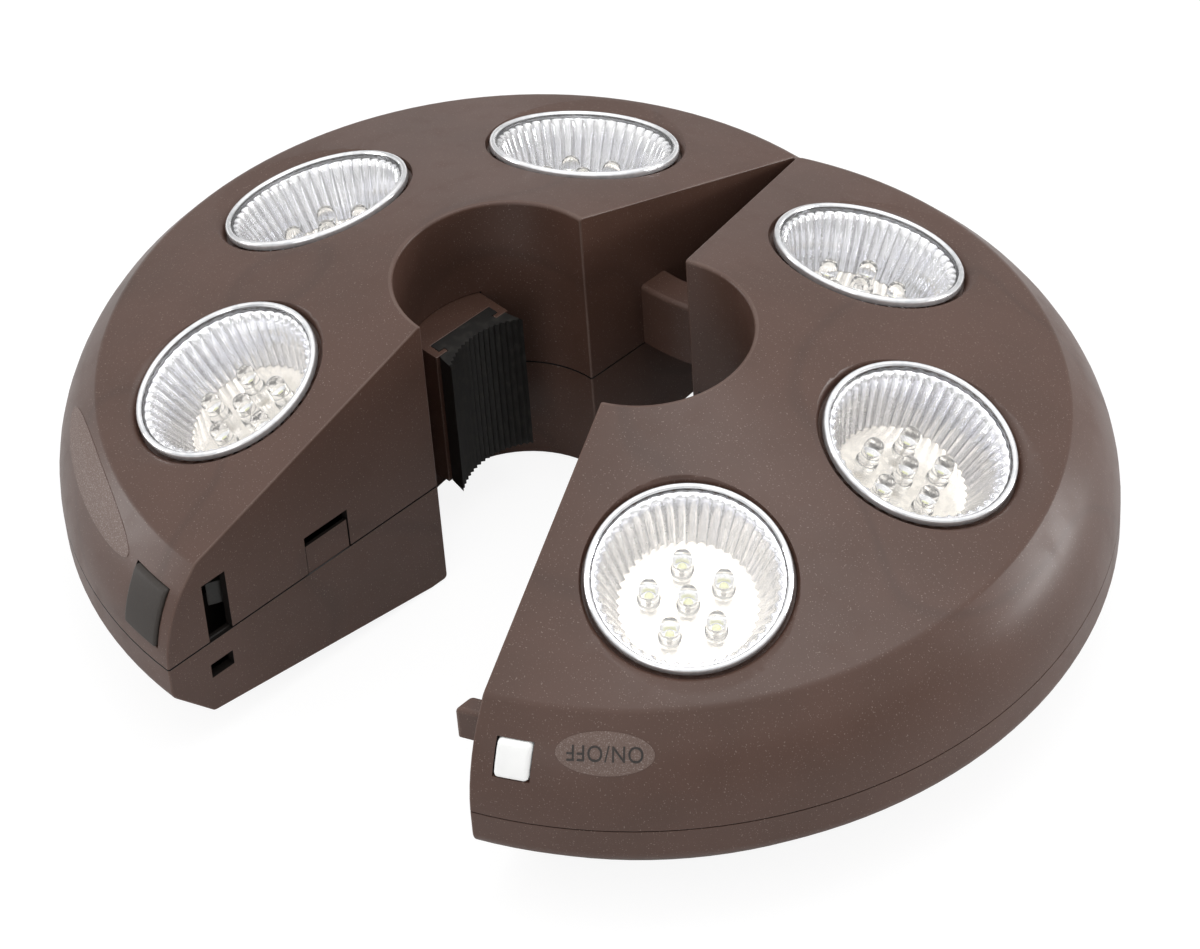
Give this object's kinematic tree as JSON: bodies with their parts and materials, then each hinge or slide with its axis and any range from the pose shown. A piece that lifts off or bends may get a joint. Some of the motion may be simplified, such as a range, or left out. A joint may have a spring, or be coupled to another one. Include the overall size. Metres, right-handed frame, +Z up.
{
  "type": "patio umbrella light",
  "caption": "Round umbrella light of two hinged halves that clamp round a pole, with tilted LED cups, sprung pole pads, a push latch and battery bays.",
  "frame": {"origin": "centre of the bounding box at the level of the flat foot round the bore, with the light standing open as in the picture", "axes": "+Z up along the pole, +X from the left half to the right half, +Y from the open mouth to the hinge"},
  "size_m": [0.278, 0.2332, 0.087],
  "materials": {
    "shell_brown": "satin moulded plastic, warm dark taupe brown with fine pale specks",
    "lens_clear": "clear moulded acrylic, polished",
    "reflector_silver": "vacuum plated fluted plastic",
    "board_cream": "cream solder mask, satin",
    "led_clear": "clear epoxy dome with a pale yellow chip",
    "steel": "zinc plated, satin",
    "button_black": "fine matt texture",
    "latch_grey": "plain moulded acetal",
    "button_white": "smooth",
    "pad_rubber": "ribbed matt black rubber",
    "cell_wrap": "plain shrink sleeve",
    "circuit_green": "solder mask"
  },
  "bodies": {
    "left_half": {"left_top_shell": "shell_brown", "left_base_shell": "shell_brown", "hinge_pin": "steel", "lens_1": "lens_clear", "reflector_1": "reflector_silver", "led_board_1": "board_cream", "leds_1": "led_clear", "lens_2": "lens_clear", "reflector_2": "reflector_silver", "led_board_2": "board_cream", "leds_2": "led_clear", "lens_3": "lens_clear", "reflector_3": "reflector_silver", "led_board_3": "board_cream", "leds_3": "led_clear", "lock_spring": "steel", "left_pad_springs": "steel", "left_batteries": "cell_wrap", "left_battery_contacts": "steel", "left_screws": "steel"},
    "right_half": {"right_top_shell": "shell_brown", "right_base_shell": "shell_brown", "lens_4": "lens_clear", "reflector_4": "reflector_silver", "led_board_4": "board_cream", "leds_4": "led_clear", "lens_5": "lens_clear", "reflector_5": "reflector_silver", "led_board_5": "board_cream", "leds_5": "led_clear", "lens_6": "lens_clear", "reflector_6": "reflector_silver", "led_board_6": "board_cream", "leds_6": "led_clear", "right_pad_springs": "steel", "right_batteries": "cell_wrap", "right_battery_contacts": "steel", "right_screws": "steel", "driver_board": "circuit_green", "power_switch": "latch_grey"},
    "lock": {"lock_button": "button_black", "latch_bolt": "latch_grey"},
    "power": {"power_button": "button_white"},
    "left_pad": {"left_pad_carrier": "shell_brown", "left_pad_rubber": "pad_rubber"},
    "right_pad": {"right_pad_carrier": "shell_brown", "right_pad_rubber": "pad_rubber"},
    "left_door": {"left_battery_door": "shell_brown"},
    "right_door": {"right_battery_door": "shell_brown"}
  },
  "joints": [
    {"name": "half_hinge", "type": "hinge", "parent": "left_half", "child": "right_half", "pos_m": [0, 0.10128, 0], "axis": [0, 0, 1], "range_deg": [-23.4, 0]},
    {"name": "lock_press", "type": "slide", "parent": "left_half", "child": "lock", "axis": [0.2028, 0.9792, 0], "range_m": [0, 0.0024], "stiffness_N_per_m": 800, "deforming": ["lock_spring"]},
    {"name": "power_press", "type": "slide", "parent": "right_half", "child": "power", "axis": [-0.2028, 0.9792, 0], "range_m": [0, 0.0015], "stiffness_N_per_m": 800},
    {"name": "left_pad_slide", "type": "slide", "parent": "left_half", "child": "left_pad", "axis": [-0.9792, 0.2028, 0], "range_m": [0, 0.012], "stiffness_N_per_m": 300, "deforming": ["left_pad_springs"]},
    {"name": "right_pad_slide", "type": "slide", "parent": "right_half", "child": "right_pad", "axis": [0.9792, 0.2028, 0], "range_m": [0, 0.012], "stiffness_N_per_m": 300, "deforming": ["right_pad_springs"]},
    {"name": "left_door_hinge", "type": "hinge", "parent": "left_half", "child": "left_door", "pos_m": [-0.07603, 0.0101, 0.0047], "axis": [-0.2028, -0.9792, 0], "range_deg": [0, 80]},
    {"name": "right_door_hinge", "type": "hinge", "parent": "right_half", "child": "right_door", "pos_m": [0.07603, 0.0101, 0.0047], "axis": [-0.2028, 0.9792, 0], "range_deg": [0, 80]}
  ]
}
